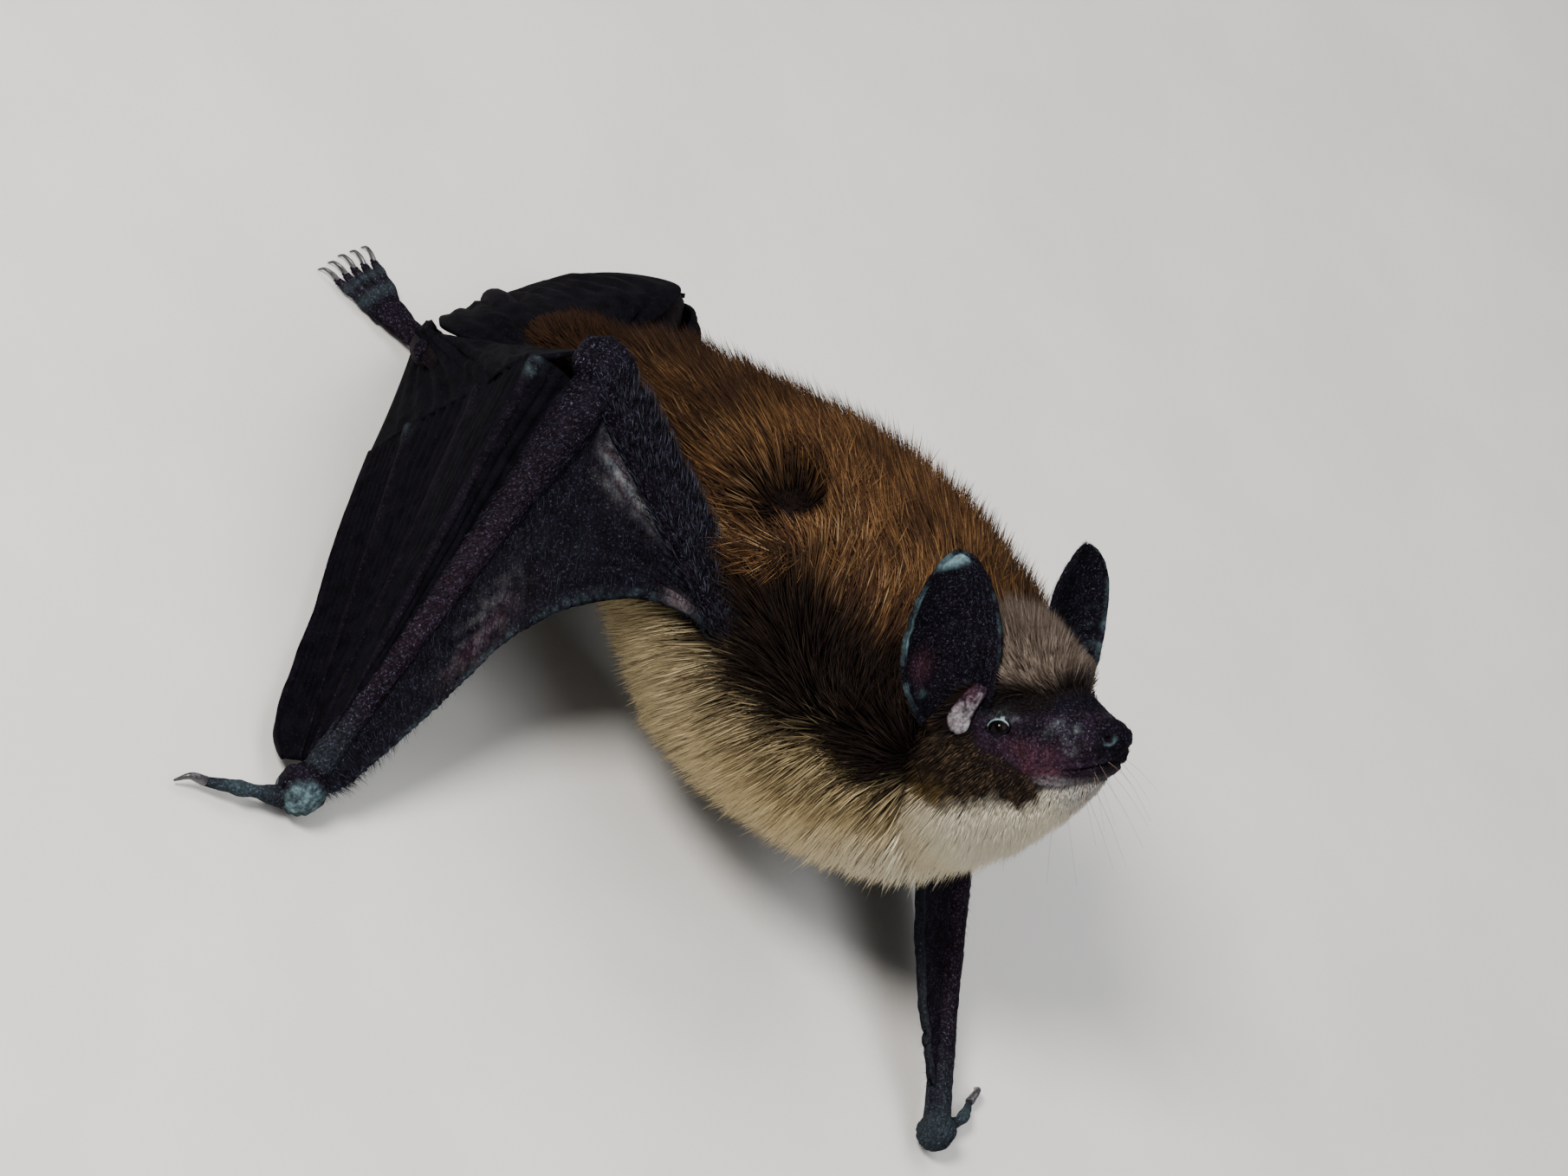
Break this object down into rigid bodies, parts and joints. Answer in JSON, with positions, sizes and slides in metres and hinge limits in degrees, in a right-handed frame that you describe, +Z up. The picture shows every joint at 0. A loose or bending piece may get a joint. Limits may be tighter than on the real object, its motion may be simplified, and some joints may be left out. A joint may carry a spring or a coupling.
{
  "type": "small mouse-eared bat, still model",
  "caption": "Life-size still bat crawling on folded wings and hind feet, head raised and turned, thick fur, dark ears and wing membranes.",
  "frame": {"origin": "middle of the bottom of the whole animal's box, on the level that wrists and feet rest on", "axes": "+X towards the animal's head end, +Y towards its left side, +Z up"},
  "size_m": [0.0746, 0.0678, 0.0371],
  "materials": {
    "fur": "long soft coat: blackish roots with golden-brown tips above, cream-yellow below",
    "bare_skin": "bare blue-black to purplish skin of ears, arms, feet and tail, pale bluish sheen on the edges",
    "wing_membrane": "thin crinkled blue-black wing skin with a soft sheen",
    "eye": "wet glossy black",
    "claw": "dark horn, paler at the tip"
  },
  "bodies": {
    "root": {"trunk": "fur", "neck": "fur", "head": "fur", "tail": "bare_skin", "tail_membrane": "wing_membrane", "flank_membrane_right": "wing_membrane", "ear_right": "bare_skin", "tragus_right": "bare_skin", "eye_right": "eye", "upper_arm_right": "bare_skin", "forearm_right": "bare_skin", "wrist_right": "bare_skin", "thumb_right": "bare_skin", "thumb_claw_right": "claw", "hand_wing_right": "wing_membrane", "front_membrane_right": "wing_membrane", "side_membrane_right": "wing_membrane", "thigh_right": "bare_skin", "shin_right": "bare_skin", "foot_right": "bare_skin", "ear_left": "bare_skin", "tragus_left": "bare_skin", "eye_left": "eye", "upper_arm_left": "bare_skin", "forearm_left": "bare_skin", "wrist_left": "bare_skin", "thumb_left": "bare_skin", "thumb_claw_left": "claw", "hand_wing_left": "wing_membrane", "front_membrane_left": "wing_membrane", "side_membrane_left": "wing_membrane", "thigh_left": "bare_skin", "shin_left": "bare_skin", "foot_left": "bare_skin"}
  },
  "joints": []
}
